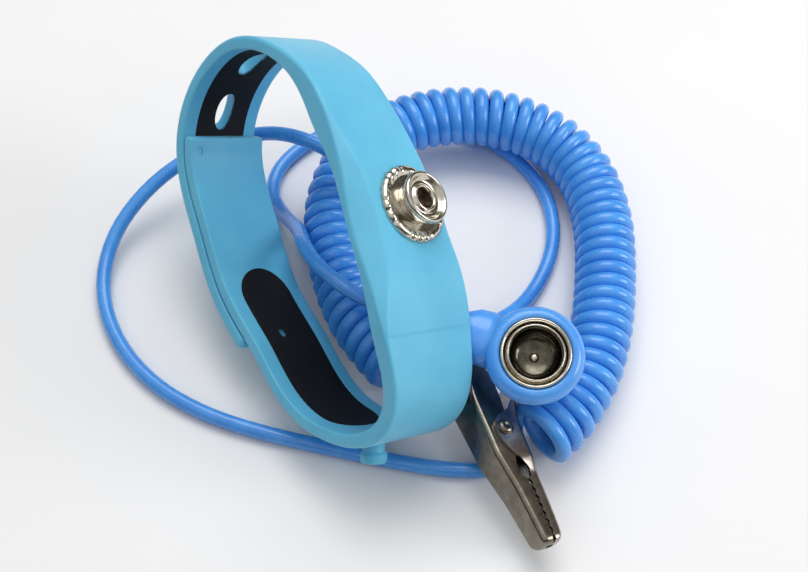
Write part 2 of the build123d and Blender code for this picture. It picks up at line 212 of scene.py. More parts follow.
def silicone(name, dark, light):
    """Soft satin silicone: faint mottling, fine moulded grain and some light inside."""
    material, tree, shader = new_material(name)
    mottle = noise(tree, 160.0, 3.0)
    tree.links.new(ramp(tree, mottle, [(0.3, dark), (0.7, light)]), shader.inputs["Base Color"])
    grain = noise(tree, 5200.0, 2.0)
    tree.links.new(remap(tree, noise(tree, 420.0, 2.0), 0.36, 0.48), shader.inputs["Roughness"])
    bump(tree, shader, grain, 0.12, 0.00008)
    shader.inputs["Subsurface Weight"].default_value = 0.12
    shader.inputs["Subsurface Radius"].default_value = (0.0012, 0.0022, 0.0030)
    shader.inputs["Subsurface Scale"].default_value = 1.0
    shader.inputs["Specular IOR Level"].default_value = 0.38
    shader.inputs["Sheen Weight"].default_value = 0.08
    shader.inputs["Sheen Roughness"].default_value = 0.4
    return material


def conductive_rubber(name):
    """Carbon-filled rubber: nearly black, matte, with a fine grain."""
    material, tree, shader = new_material(name)
    speck = noise(tree, 2600.0, 3.0, 0.7)
    colours = [(0.35, (0.0035, 0.0035, 0.004)), (0.75, (0.010, 0.010, 0.012))]
    tree.links.new(ramp(tree, speck, colours), shader.inputs["Base Color"])
    tree.links.new(remap(tree, speck, 0.55, 0.75), shader.inputs["Roughness"])
    bump(tree, shader, noise(tree, 7000.0, 2.0), 0.25, 0.00005)
    shader.inputs["Specular IOR Level"].default_value = 0.25
    return material


def glossy_vinyl(name, dark, light, scatter=0.10):
    """Smooth glossy cord jacket with faint waves along it."""
    material, tree, shader = new_material(name)
    mottle = noise(tree, 220.0, 2.0)
    tree.links.new(ramp(tree, mottle, [(0.3, dark), (0.7, light)]), shader.inputs["Base Color"])
    tree.links.new(remap(tree, noise(tree, 900.0, 3.0), 0.20, 0.32), shader.inputs["Roughness"])
    bump(tree, shader, noise(tree, 1500.0, 2.0), 0.10, 0.00012)
    shader.inputs["Subsurface Weight"].default_value = scatter
    shader.inputs["Subsurface Radius"].default_value = (0.0006, 0.0012, 0.0022)
    shader.inputs["Subsurface Scale"].default_value = 1.0
    shader.inputs["Coat Weight"].default_value = 0.25
    shader.inputs["Coat Roughness"].default_value = 0.12
    return material


def plated_metal(name, dark, light, rough_low, rough_high, pits=0.18):
    """Nickel plate, slightly warm, with polishing marks and small dents."""
    material, tree, shader = new_material(name)
    cloud = noise(tree, 700.0, 4.0, 0.6)
    tree.links.new(ramp(tree, cloud, [(0.3, dark), (0.7, light)]), shader.inputs["Base Color"])
    tree.links.new(remap(tree, noise(tree, 1700.0, 4.0), rough_low, rough_high),
                   shader.inputs["Roughness"])
    bump(tree, shader, noise(tree, 1100.0, 3.0), pits, 0.00010)
    shader.inputs["Metallic"].default_value = 1.0
    return material


MATERIALS = {
    "band": silicone("silicone_blue", (0.112, 0.47, 0.70), (0.135, 0.52, 0.745)),
    "black": conductive_rubber("conductive_black"),
    "cord": glossy_vinyl("cord_blue", (0.052, 0.28, 0.79), (0.078, 0.36, 0.87)),
    "housing": glossy_vinyl("housing_blue", (0.070, 0.31, 0.84), (0.095, 0.37, 0.90), 0.3),
    "nickel": plated_metal("nickel", (0.50, 0.46, 0.38), (0.72, 0.68, 0.60), 0.12, 0.24, 0.25),
    "steel": plated_metal("clip_steel", (0.165, 0.145, 0.115), (0.26, 0.23, 0.185), 0.16, 0.28, 0.2),
    # Painted light: a lighter copy of the clip steel, for the moving jaw that catches more light; both
    # jaws are the same steel.
    "lit_steel_copy": plated_metal("clip_steel_painted_light", (0.30, 0.265, 0.23), (0.44, 0.40, 0.36), 0.16, 0.3),
    # Painted shade: a much darker copy of the nickel, for the socket's well inside its recess.
    "painted_shade_nickel": plated_metal("socket_nickel_painted_shade", (0.055, 0.052, 0.036), (0.16, 0.145, 0.11), 0.14, 0.26),
    "eye": plated_metal("stud_eye", (0.020, 0.010, 0.008), (0.050, 0.024, 0.018), 0.35, 0.5),
    "ceramic": conductive_rubber("resistor_body"),
}


# ---------------------------------------------------------------- mesh helpers
def add_mesh(name, verts, faces, material):
    """New object from points in millimetres in the row frame."""
    mesh = bpy.data.meshes.new(name)
    mesh.from_pydata([tuple(float(c) * MM for c in v) for v in verts], [], faces)
    mesh.validate()
    mesh.update()
    for polygon in mesh.polygons:
        polygon.use_smooth = True
    piece = bpy.data.objects.new(name, mesh)
    bpy.context.scene.collection.objects.link(piece)
    mesh.materials.append(MATERIALS[material])
    return piece


def fix_normals(piece):
    bm = bmesh.new()
    bm.from_mesh(piece.data)
    bmesh.ops.recalc_face_normals(bm, faces=bm.faces)
    bm.to_mesh(piece.data)
    bm.free()


def apply_modifiers(piece):
    """Bakes the piece's modifiers into its mesh."""
    depsgraph = bpy.context.evaluated_depsgraph_get()
    mesh = bpy.data.meshes.new_from_object(piece.evaluated_get(depsgraph))
    piece.modifiers.clear()
    piece.data = mesh
    return piece


def cut(piece, cutters):
    """Boolean difference with each cutter, which is then deleted."""
    for cutter in cutters:
        modifier = piece.modifiers.new("cut", "BOOLEAN")
        modifier.operation = "DIFFERENCE"
        modifier.solver = "EXACT"
        modifier.object = cutter
    apply_modifiers(piece)
    for cutter in cutters:
        bpy.data.objects.remove(cutter)
    return piece


def smooth_by_angle(piece, degrees):
    """Smooth shading that keeps edges sharper than an angle."""
    limit = math.radians(degrees)
    bm = bmesh.new()
    bm.from_mesh(piece.data)
    for face in bm.faces:
        face.smooth = True
    for edge in bm.edges:
        edge.smooth = len(edge.link_faces) == 2 and edge.calc_face_angle(0.0) < limit
    bm.to_mesh(piece.data)
    bm.free()
    return piece


def loft(name, rings, material):
    """Capped skin over a list of closed rings that all have the same number of points."""
    rings = np.asarray(rings)
    count, size = rings.shape[:2]
    faces = []
    for i in range(count - 1):
        for j in range(size):
            k = (j + 1) % size
            faces.append((i * size + j, i * size + k, (i + 1) * size + k, (i + 1) * size + j))
    faces.append(tuple(range(size))[::-1])
    faces.append(tuple((count - 1) * size + j for j in range(size)))
    piece = add_mesh(name, rings.reshape(-1, 3), faces, material)
    fix_normals(piece)
    return piece


SEGMENTS = 96                 # round a lathed piece, unless it says otherwise
AXIS_R = 0.02                 # where a lathed profile starts and ends, so that its caps have an area


def lathe(name, profile, placement, material, segments=SEGMENTS):
    """Solid of revolution about the local Z axis, from (radius, height) points."""
    rings = []
    for radius, height in profile:
        angles = np.linspace(0, 2 * np.pi, segments, endpoint=False)
        ring = np.stack([radius * np.cos(angles), radius * np.sin(angles),
                         np.full(segments, height)], -1)
        rings.append(placement(ring))
    return loft(name, rings, material)


def ring(name, profile, placement, material):
    """Ring about the local Z axis, from its closed (radius, height) section."""
    rings = []
    for angle in np.linspace(0, 2 * np.pi, SEGMENTS, endpoint=False):
        turn = (math.cos(angle), math.sin(angle))
        rings.append(placement([(r * turn[0], r * turn[1], z) for r, z in profile]))
    size = len(profile)
    faces = []
    for i in range(SEGMENTS):
        n = (i + 1) % SEGMENTS
        for j in range(size):
            k = (j + 1) % size
            faces.append((i * size + j, i * size + k, n * size + k, n * size + j))
    piece = add_mesh(name, np.reshape(rings, (-1, 3)), faces, material)
    fix_normals(piece)
    return piece


CORNER_STEPS = 5
STATION_STEP = 0.8            # between two sections of the band


def round_corners(corners, radii):
    """Closed outline with each corner replaced by an arc-like curve."""
    points = []
    corners = [np.array(c, float) for c in corners]
    for i, corner in enumerate(corners):
        before = corners[i - 1] - corner
        after = corners[(i + 1) % len(corners)] - corner
        reach = min(radii[i], 0.49 * np.linalg.norm(before), 0.49 * np.linalg.norm(after))
        a = corner + before / np.linalg.norm(before) * reach
        b = corner + after / np.linalg.norm(after) * reach
        for t in np.linspace(0, 1, CORNER_STEPS):
            points.append((1 - t) ** 2 * a + 2 * t * (1 - t) * corner + t ** 2 * b)
    return np.array(points)


# ---------------------------------------------------------------- the loop's inner outline
def periodic_spline(points):
    """Closed cubic spline through the points, as a dense polyline with its running length."""
    count = len(points)
    gaps = np.linalg.norm(np.roll(points, -1, 0) - points, axis=1)
    matrix = np.zeros((count, count))
    right = np.zeros((count, 2))
    for i in range(count):
        before, after = gaps[i - 1], gaps[i]
        matrix[i, i - 1] += after
        matrix[i, i] += 2 * (before + after)
        matrix[i, (i + 1) % count] += before
        ahead = (points[(i + 1) % count] - points[i]) / after
        behind = (points[i] - points[i - 1]) / before
        right[i] = 3 * (after * behind + before * ahead)
    slopes = np.linalg.solve(matrix, right)
    dense = []
    for i in range(count):
        p, q = points[i], points[(i + 1) % count]
        m, n = slopes[i] * gaps[i], slopes[(i + 1) % count] * gaps[i]
        for t in np.linspace(0, 1, 60, endpoint=False):
            dense.append((2 * t**3 - 3 * t**2 + 1) * p + (t**3 - 2 * t**2 + t) * m
                         + (-2 * t**3 + 3 * t**2) * q + (t**3 - t**2) * n)
    dense = np.array(dense + [dense[0]])
    lengths = np.concatenate([[0], np.cumsum(np.linalg.norm(np.diff(dense, axis=0), axis=1))])
    return dense, lengths


LOOP_DENSE, LOOP_RUN = periodic_spline(LOOP_POINTS)
LOOP_LENGTH = LOOP_RUN[-1]
axis_dir = LOOP_AXIS / np.linalg.norm(LOOP_AXIS)
long_dir = LOOP_LONG - axis_dir * (LOOP_LONG @ axis_dir)
long_dir /= np.linalg.norm(long_dir)
up_dir = np.cross(axis_dir, long_dir)


def on_loop(length):
    """Point on the inner outline and its outward normal, in the loop's plane."""
    part = length % LOOP_LENGTH
    step = 0.4

    def at(value):
        value = value % LOOP_LENGTH
        return np.array([np.interp(value, LOOP_RUN, LOOP_DENSE[:, k]) for k in (0, 1)])

    tangent = at(part + step) - at(part - step)
    tangent /= np.linalg.norm(tangent)
    return at(part), np.array((tangent[1], -tangent[0]))


def bend_shift(length):
    """How far the outline is moved out at a place: the far bend is flatter, the near one fuller."""
    place = (length - TAIL_AT) % LOOP_LENGTH + TAIL_AT - LOOP_LENGTH
    flatter = ease(place, 0, 12) * (1 - ease(place, 20, 32))
    fuller = ease(place, 52, 64) * (1 - ease(place, 77, 92))
    return NEAR_BEND_OUT * fuller - FAR_BEND_IN * flatter


def band_point(length, across, offset):
    """Row-frame point on the band: along it, across it, and out from the inner outline."""
    point, normal = on_loop(length)
    offset += bend_shift(length)
    flat = point + normal * offset
    return LOOP_CENTRE + long_dir * flat[0] + up_dir * flat[1] + axis_dir * across


def band_frame(length, across, offset):
    """Origin and axes at a spot on the band: along, across and outward."""
    origin = band_point(length, across, offset)
    outward = band_point(length, across, offset + 1.0) - origin
    along = np.cross(axis_dir, outward)
    return origin, along, axis_dir, outward


def placed(frame_at):
    """Placement function for rings of local points (along, across, outward)."""
    origin, along, across, outward = frame_at
    basis = np.array([along, across, outward])
    return lambda ring: origin + np.asarray(ring) @ basis


def strap(name, stations, section, material):
    """Lofted strap: section(length) gives its outline as (across, offset) points."""
    rings = []
    for length in stations:
        outline = section(length)
        rings.append([band_point(length, a, o) for a, o in outline])
    return loft(name, rings, material)


def strap_outline(low, high, bevel, left=0.0, right=BAND_WIDTH, soft=0.35):
    """Section with its two outer corners bevelled and all corners rounded."""
    corners = [(left, low), (right, low), (right, high - bevel), (right - bevel, high),
               (left + bevel, high), (left, high - bevel)]
    radii = [soft, soft] + [min(soft, 0.6 * bevel) + 0.25 * bevel] * 4
    return round_corners(corners, radii)


def ease(value, start, end):
    t = min(1.0, max(0.0, (value - start) / (end - start)))
    return t * t * (3 - 2 * t)


def with_round_ends(section, start, end, reach, low, high):
    """Shrinks the section near its free ends, so that the ends are rounded over."""
    def shaped(length):
        outline = section(length)
        gap = min(length - start, end - length)
        if gap >= reach:
            return outline
        pull = reach - math.sqrt(max(0.0, reach**2 - (reach - gap) ** 2))
        centre = np.array((BAND_WIDTH / 2, (low + high) / 2))
        half = np.array((BAND_WIDTH / 2, (high - low) / 2))
        return centre + (outline - centre) * (1 - pull / half)
    return shaped


# ---------------------------------------------------------------- band pieces
LAP = STRAP_T + LAP_GAP
HEAD_WIDER_FAR = 1.9
HEAD_WIDER_NEAR = 2.4
SEAM_T = 2.7                  # thickness where the head ends
SEAM_STEP = 0.06              # step down to the strap there
LINING_PROUD = 0.03           # how far the lining stands out of the strap's inner face
LINING_MARGIN = 2.3           # strap left bare beside the lining


def band_section(place):
    """Outline of the moulding at a length along it, negative past the start of the outline."""
    low = LAP * (1 - ease(place, 8, 24))
    high = LAP + STRAP_T - (LAP + STRAP_T - HEAD_T) * ease(place, 14, 27)
    high -= (HEAD_T - SEAM_T) * ease(place, 42, HEAD_END)
    if place > HEAD_END:
        high = SEAM_T - SEAM_STEP - (SEAM_T - SEAM_STEP - STRAP_T) * ease(place, HEAD_END, 76)
    crease = ease(place, 20, 38) * (1 - ease(place, 40, HEAD_END + 1.5))
    crease = crease if place <= HEAD_END else 0.0
    right = BAND_WIDTH - 1.4 * ease(place, -2, 10) * (1 - ease(place, 18, 32))
    right += HEAD_WIDER_FAR * ease(place, 27, 39) * (1 - ease(place, 43, 56))
    right += 0.7 * ease(place, 43, 56) * (1 - ease(place, 66, 90))
    left = -HEAD_WIDER_NEAR * ease(place, 10, 42) * (1 - ease(place, 49, 66))
    inset, drop = 0.35 + 2.6 * crease, 0.35 + 2.1 * crease
    corners = [(left, low), (right, low), (right, high - drop), (right - inset, high),
               (left + inset, high), (left, high - drop)]
    return round_corners(corners, [0.35, 0.35] + [0.22 + 0.25 * crease] * 4)


def slot_cutter(length):
    """Oval prism through the holed strap."""
    place = placed(band_frame(length, BAND_WIDTH / 2, LAP + STRAP_T / 2))
    outline = []
    for angle in np.linspace(0, 2 * np.pi, 48, endpoint=False):
        c, v = math.cos(angle), math.sin(angle)
        outline.append((HOLE_LENGTH / 2 * math.copysign(abs(c) ** 0.9, c),
                        HOLE_WIDTH / 2 * math.copysign(abs(v) ** 0.9, v)))
    rings = [place([(x, y, z) for x, y in outline]) for z in (-2.6, 2.6)]
    return loft("cutter", rings, "black")


def pin_cutter(length, across, radius, low, high):
    """Small round prism, for a hole or a dimple."""
    origin, along, side, outward = band_frame(length, across, 0.0)
    place = placed((origin, 1.5 * along, side, outward))
    return lathe("cutter", [(AXIS_R, low), (radius, low), (radius, high), (AXIS_R, high)],
                 place, "black", 24)


def make_band():
    """Holed strap, head with its wide bevels, near bend and lower strap, in one moulding."""
    start = TAIL_AT - LOOP_LENGTH
    shaped = with_round_ends(band_section, start, FLEX_AT + 9, 0.9, LAP, LAP + STRAP_T)
    steps = np.concatenate([
        start + 0.9 * (1 - np.cos(np.linspace(0, np.pi / 2, 7))),
        np.arange(start + 1.6, HEAD_END - 0.4, STATION_STEP),
        [HEAD_END - 0.3, HEAD_END - 0.02, HEAD_END + 0.13, HEAD_END + 0.4],
        np.arange(HEAD_END + 0.9, FLEX_AT - 0.3, STATION_STEP), [FLEX_AT],
    ])
    piece = strap("band_soft", steps, shaped, "band")
    cutters = [slot_cutter(FIRST_HOLE - i * HOLE_PITCH) for i in range(HOLES)]
    cutters.append(pin_cutter(PAD_HOLE_AT, PAD_HOLE_ACROSS, PAD_HOLE_R, -1.0, 5.0))
    cut(piece, cutters)
    return smooth_by_angle(piece, 33)


def make_lining():
    """Black layer on the inside of the holed arm."""
    low = LAP - LINING_PROUD
    start, end = CUT_END - 8, LOOP_LENGTH + 5.0

    def section(length):
        return strap_outline(low, low + LINING_T, 0.1, LINING_MARGIN, BAND_WIDTH - LINING_MARGIN, 0.1)

    steps = np.concatenate([np.arange(start, end, STATION_STEP), [end]])
    piece = strap("strap_lining_soft", steps, section, "black")
    cut(piece, [slot_cutter(FIRST_HOLE - i * HOLE_PITCH) for i in range(HOLES)])
    return smooth_by_angle(piece, 40)


def make_strap_end():
    """Inner end of the band, from the place where it flexes to its cut end."""
    shaped = with_round_ends(band_section, FLEX_AT - 9, CUT_END, 0.35, 0.0, STRAP_T)
    steps = np.concatenate([np.arange(FLEX_AT, CUT_END - 0.5, STATION_STEP),
                            CUT_END - 0.35 * (1 - np.sin(np.linspace(0, np.pi / 2, 5)))])
    piece = strap("strap_end_soft", steps, shaped, "band")
    cut(piece, [pin_cutter(123.0, 1.8, 0.45, -1.0, 0.15)])
    return smooth_by_angle(piece, 33)


def make_pad():
    """Obround conductive pad, a little proud of the strap's inner face."""
    half = (BAND_WIDTH - 4.4) / 2
    middle = BAND_WIDTH / 2 + 0.1
    rings = []
    for length in PAD_START + (PAD_END - PAD_START) * (1 - np.cos(np.linspace(0, np.pi, 70))) / 2:
        inset = max(0.0, half - min(length - PAD_START, PAD_END - length))
        reach = math.sqrt(max(0.0004, half**2 - inset**2))
        rows = [(middle + reach * t, -0.06 if abs(t) < 0.98 else 0.02)
                for t in np.linspace(-1, 1, 15)]
        rows += [(middle + reach, 0.2), (middle - reach, 0.2)]
        rings.append([band_point(length, a, o) for a, o in rows])
    piece = loft("wrist_pad_soft", rings, "black")
    cut(piece, [pin_cutter(PAD_HOLE_AT, PAD_HOLE_ACROSS, PAD_HOLE_R, -1.0, 1.0)])
    return smooth_by_angle(piece, 50)


def make_peg(name, length, root, neck, neck_r, head_r):
    """Mushroom peg with a flared root and a rounded head."""
    profile = [(AXIS_R, -0.3), (neck_r + 0.6, -0.3), (neck_r + 0.5, 0.0), (neck_r + 0.12, 0.25),
               (neck_r, 0.6), (neck_r, neck), (neck_r + 0.1, neck + 0.1),
               (head_r - 0.08, neck + 0.22), (head_r, neck + 0.45), (head_r - 0.03, neck + 1.3),
               (head_r - 0.2, neck + 1.6), (head_r - 0.6, neck + 1.7), (AXIS_R, neck + 1.7)]
    place = placed(band_frame(length, BAND_WIDTH / 2, root))
    return lathe(name, profile, place, "band", 48)


def make_stud():
    """Flange with a bumpy rolled rim, and the flared, dished post."""
    origin = placed(band_frame(STUD_AT, STUD_ACROSS, HEAD_T))
    segments = 240
    angles = np.linspace(0, 2 * np.pi, segments, endpoint=False)
    wave = (0.5 + 0.5 * np.cos(23 * angles + 1.4 * np.sin(3 * angles))) ** 2
    wave *= 0.55 + 0.45 * np.cos(5 * angles + 0.7)
    rings = []
    outline = [(AXIS_R, -0.5, 0), (5.1, -0.5, 0), (5.45, -0.3, 0.5), (5.6, 0.1, 1), (5.52, 0.5, 1),
               (5.2, 0.78, 1.4), (4.85, 0.86, 1.6), (4.5, 0.74, 0.8), (4.2, 0.52, 0),
               (3.9, 0.48, 0), (3.3, 0.62, 0), (AXIS_R, 0.62, 0)]
    for radius, height, knurl in outline:
        ring_radius = radius - 0.16 * knurl * wave
        ring_height = height - 0.15 * knurl * wave
        rings.append(origin(np.stack([ring_radius * np.cos(angles), ring_radius * np.sin(angles),
                                      ring_height], -1)))
    flange = loft("stud_flange_fine", rings, "nickel")
    post = [(AXIS_R, 0.5), (3.0, 0.5), (2.95, 0.9), (3.0, 1.3), (3.25, 1.8), (3.6, 2.3),
            (3.74, 2.75), (3.68, 3.1), (3.48, 3.3), (3.25, 3.25), (3.0, 2.95), (2.7, 2.6),
            (2.4, 2.42), (2.15, 2.5), (1.95, 2.75), (1.8, 2.88), (1.62, 2.86), (1.48, 2.6),
            (1.4, 2.2), (1.35, 1.2), (AXIS_R, 1.0)]
    eye = lathe("stud_eye_fine", [(AXIS_R, 2.0), (1.47, 2.0), (1.46, 2.3), (AXIS_R, 2.25)], origin,
                "eye", 48)
    return flange, lathe("stud_post_fine", post, origin, "nickel", 96), eye


# ---------------------------------------------------------------- snap housing and socket
def housing_frame():
    """Origin at the middle of the housing's back; axes to one side, to the other and out of its face."""
    tilt = math.radians(HOUSING_TILT)
    outward = np.array((0.0, -math.sin(tilt), math.cos(tilt)))
    side = np.array((1.0, 0.0, 0.0))
    return HOUSING_FACE - HOUSING_T * outward, side, np.cross(outward, side), outward


def make_housing():
    """Moulded shell with rounded edges and a recess for the socket, and its boot."""
    base, side, other, outward = housing_frame()
    r, t = HOUSING_R, HOUSING_T
    shell = [(AXIS_R, 0.2), (r - 2.6, 0.2), (r - 1.7, 0.5), (r - 1.0, 1.1), (r - 0.5, 1.9),
             (r - 0.3, 2.55), (r - 0.36, 2.62), (r - 0.27, 2.7), (r - 0.03, 4.2), (r - 0.25, 5.1),
             (r - 0.75, t - 0.3), (r - 1.25, t - 0.03), (CUP_R + 0.4, t), (CUP_R + 0.12, t - 0.1),
             (CUP_R + 0.04, t - 0.4),
             (CUP_R + 0.04, 2.2), (AXIS_R, 2.2)]
    shell = lathe("snap_housing_soft", shell, placed((base, side, other, outward)), "housing", 128)
    turn = math.radians(NECK_TURN)
    along = side * math.cos(turn) + other * math.sin(turn)
    across = np.cross(along, outward)
    start = base + NECK_LEVEL * outward
    boot = [(AXIS_R, 5.4), (2.8, 5.4), (2.8, 7.6), (2.7, 9.2), (2.4, 10.6), (2.1, 12.0), (1.9, 12.9),
            (1.7, NECK_REACH), (1.3, NECK_REACH + 0.05), (AXIS_R, NECK_REACH + 0.05)]
    rings = []
    for radius, reach in boot:
        wide = 1 + 0.42 * (1 - ease(reach, 8.6, 12.4))
        ring = [(wide * radius * math.cos(a), radius * math.sin(a), reach)
                for a in np.linspace(0, 2 * np.pi, 64, endpoint=False)]
        rings.append(placed((start, across, outward, along))(ring))
    boot = loft("snap_boot_soft", rings, "housing")
    return smooth_by_angle(shell, 60), boot


def make_socket():
    """Rolled bright rim, the sleeve inside it, and the well with its nub; the well's nickel is darkened
    as painted shade in the recess.
    """
    place = placed(housing_frame())
    rim = [(4.42, 3.6), (4.45, 5.4), (4.5, 5.9), (4.58, 6.12), (4.72, 6.25), (4.88, 6.2),
           (4.98, 6.0), (5.0, 5.5), (5.0, 3.4), (4.45, 3.4)]
    sleeve = [(3.72, 4.6), (3.74, 6.0), (3.8, 6.2), (3.9, 6.26), (4.02, 6.14), (4.14, 5.75),
              (4.2, 5.7), (4.27, 5.35), (4.33, 5.3), (4.36, 4.6)]
    well = [(AXIS_R, 2.5), (3.75, 2.5), (3.75, 5.6), (3.68, 5.7), (3.6, 5.2), (3.5, 4.9), (3.52, 4.7),
            (3.3, 4.0), (2.9, 3.4), (2.2, 3.0), (1.2, 2.82), (AXIS_R, 2.78)]
    rim = ring("socket_rim_fine", rim, place, "nickel")
    sleeve = ring("socket_sleeve_fine", sleeve, place, "nickel")
    # The well takes the darkened nickel: painted shade in the socket's recess.
    well = lathe("socket_well_fine", well, place, "painted_shade_nickel", 96)
    nub = lathe("socket_nub_fine", [(AXIS_R, 2.6), (0.75, 2.6), (0.72, 3.0), (0.5, 3.3), (0.25, 3.42),
                                    (AXIS_R, 3.45)], place, "nickel", 32)
    return rim, sleeve, well, nub


# ---------------------------------------------------------------- clip
def clip_frame():
    """Origin at the tail; axes to the tip, to the opening side and along the hinge."""
    along = (CLIP_TIP - CLIP_TAIL) / np.linalg.norm(CLIP_TIP - CLIP_TAIL)
    side = np.cross((0.0, 0.0, 1.0), along)
    side /= np.linalg.norm(side)
    up = np.cross(along, side)
    up = -up if up[2] < 0 else up
    roll = math.radians(CLIP_ROLL)
    hinge = up * math.cos(roll) + side * math.sin(roll)
    return CLIP_TAIL, along, np.cross(hinge, along), hinge


def table(points):
    """Piecewise straight function through (x, y) points."""
    xs, ys = zip(*points)
    return lambda x: float(np.interp(x, xs, ys))


BITE_START = 18.6
BITE_PITCH = 1.18
BITE_DEPTH = 0.3


def bites(x, side):
    """Edge of a jaw between the bites' start and the tip: a row of small teeth."""
    phase = (x - BITE_START) / BITE_PITCH % 1.0
    return side * (0.04 + BITE_DEPTH * (1 - abs(2 * phase - 1)))


TOP_SIDE = 2.6                # the side wall nearest the eye, along the hinge
LOW_EAR = 1.6                 # the moving jaw's lower ear stands out this many times EAR_STEP
TIP_LENGTH = 0.9              # over which the nose is rounded
TIP_IN = 0.8                  # how far each side draws in there
JAW_WIDTH = table([(0.6, 5.6), (2.5, 6.6), (5, 6.8), (16.5, 5.3), (21, 4.7), (27, 4.1), (28, 3.5)])


def channel(name, stations, top, bottom, back, edge, finish):
    """Pressed U-channel: walls at top and bottom along the hinge, joined at the back."""
    place = placed(clip_frame())
    rings = []
    for x in stations:
        high, low, wall, lip = top(x), bottom(x), back(x), edge(x)
        inward = 1.0 if lip > wall else -1.0
        bend = min(0.75, 0.45 * (high - low), 0.9 * abs(lip - wall))
        outer = [(lip, high)]
        for a in np.linspace(0, np.pi / 2, 6):
            outer.append((wall + inward * bend * (1 - math.sin(a)), high - bend * (1 - math.cos(a))))
        for a in np.linspace(np.pi / 2, 0, 6):
            outer.append((wall + inward * bend * (1 - math.sin(a)), low + bend * (1 - math.cos(a))))
        outer.append((lip, low))
        centre = (high + low) / 2
        shrink = 1 - 2 * SHEET_T / (high - low)
        inner = []
        for y, z in outer[::-1]:
            depth = max(0.0, 1 - abs(y - wall) / max(0.01, abs(lip - wall)))
            inner.append((y + inward * SHEET_T * min(1.0, depth * 1.6), centre + (z - centre) * shrink))
        rings.append(place([(x, y, z) for y, z in outer + inner]))
    return smooth_by_angle(loft(name, rings, finish), 40)


def jaw_stations(start):
    """Places of a jaw's sections along the clip: close together at the tip, two to each tooth."""
    teeth = np.arange(BITE_START, CLIP_LENGTH - TIP_LENGTH, BITE_PITCH / 2)
    tip = CLIP_LENGTH - TIP_LENGTH + TIP_LENGTH * np.sin(np.linspace(0, np.pi / 2, 7))
    body = np.arange(start, BITE_START - 0.1, 0.35)
    return np.concatenate([body, teeth, tip])


def tip_round(x):
    """0 up to the nose, and 1 at its very end, along a quarter circle."""
    gap = max(0.0, x - (CLIP_LENGTH - TIP_LENGTH)) / TIP_LENGTH
    return 1 - math.sqrt(max(0.0, 1 - gap**2))


def make_jaws():
    """Fixed jaw, and the moving jaw with ears that stand outside it at the pivot."""
    fixed_back = table([(0.6, -1.7), (2.8, -3.0), (5, -3.45), (14, -3.45), (20, -2.45), (28, -1.75)])
    fixed_edge = table([(0.6, 0.2), (2.2, 0.8), (4.0, 1.0), (6.5, 0.95), (8.4, 0.7), (9.7, 0.6),
                        (11.9, 0.7), (13.4, -0.1), (16.0, -0.9), (17.4, -1.15), (18.6, -0.3)])
    fixed = channel("clip_fixed_fine", jaw_stations(0.6),
                    lambda x: TOP_SIDE - TIP_IN * tip_round(x),
                    lambda x: TOP_SIDE - JAW_WIDTH(x) + TIP_IN * tip_round(x),
                    lambda x: fixed_back(x) + 0.6 * tip_round(x),
                    lambda x: fixed_edge(x) if x < BITE_START else bites(x, -1), "steel")
    front = table([(3.6, 5.3), (6.5, 3.6), (9.4, 2.4), (13.5, 2.1), (17.7, 2.1), (22, 2.0),
                   (26.6, 1.8), (28, 1.35)])
    lower = table([(3.6, 4.4), (6.5, 2.4), (8.2, 0.9), (8.7, -0.6), (9.4, -1.7), (10.2, -2.15),
                   (11.4, -2.2), (12.4, -2.0), (13.9, -1.3), (16.1, 0.1), (17.2, 0.75), (18.6, 0.45)])
    ears = table([(3.6, EAR_STEP), (15.6, EAR_STEP), (17.8, 0.0), (28, 0.0)])
    # The moving jaw takes the lighter copy of the clip steel: painted light.
    moving = channel("clip_moving_fine", jaw_stations(3.6),
                     lambda x: TOP_SIDE + ears(x) - TIP_IN * tip_round(x),
                     lambda x: TOP_SIDE - JAW_WIDTH(x) - LOW_EAR * ears(x) + TIP_IN * tip_round(x),
                     lambda x: front(x) - 0.5 * tip_round(x),
                     lambda x: lower(x) if x < BITE_START else bites(x, 1), "lit_steel_copy")
    return fixed, moving


def make_pin():
    """Pivot pin with a domed head and a small centre mark at each end."""
    top = TOP_SIDE + EAR_STEP
    bottom = TOP_SIDE - JAW_WIDTH(PIVOT[0]) - LOW_EAR * EAR_STEP
    dome = [(1.2, 0.02), (1.2, 0.18), (1.05, 0.42), (0.8, 0.58), (0.5, 0.64), (0.3, 0.55), (AXIS_R, 0.5)]
    profile = [(r, bottom - h) for r, h in dome[::-1]] + [(0.75, bottom + 0.1), (0.75, top - 0.1)]
    profile += [(r, top + h) for r, h in dome]
    origin, along, opening, hinge = clip_frame()
    spot = origin + PIVOT[0] * along + PIVOT[1] * opening
    return lathe("clip_pin_fine", profile, placed((spot, along, opening, hinge)), "steel", 48)


def make_crimp():
    """Folded tube that grips the cord, with two crimp grooves and a flared mouth."""
    place = placed(clip_frame())
    rings = []
    for x in np.linspace(-0.3, 5.6, 40):
        squeeze = 0.22 * math.exp(-((x - 1.2) / 0.35) ** 2) + 0.22 * math.exp(-((x - 2.8) / 0.35) ** 2)
        flare = 0.18 * math.exp(-((x + 0.3) / 0.3) ** 2)
        flat = ease(x, 3.4, 5.6)
        ring = []
        for a in np.linspace(0, 2 * np.pi, 48, endpoint=False):
            radius = 1.75 - squeeze + flare - 0.12 * math.exp(-((a - np.pi / 2) / 0.12) ** 2)
            ring.append((x, radius * (1 - 0.75 * flat) * math.cos(a) - 1.6 * flat,
                         radius * (1 + 0.25 * flat) * math.sin(a)))
        rings.append(place(ring))
    return loft("clip_crimp_fine", rings, "nickel")


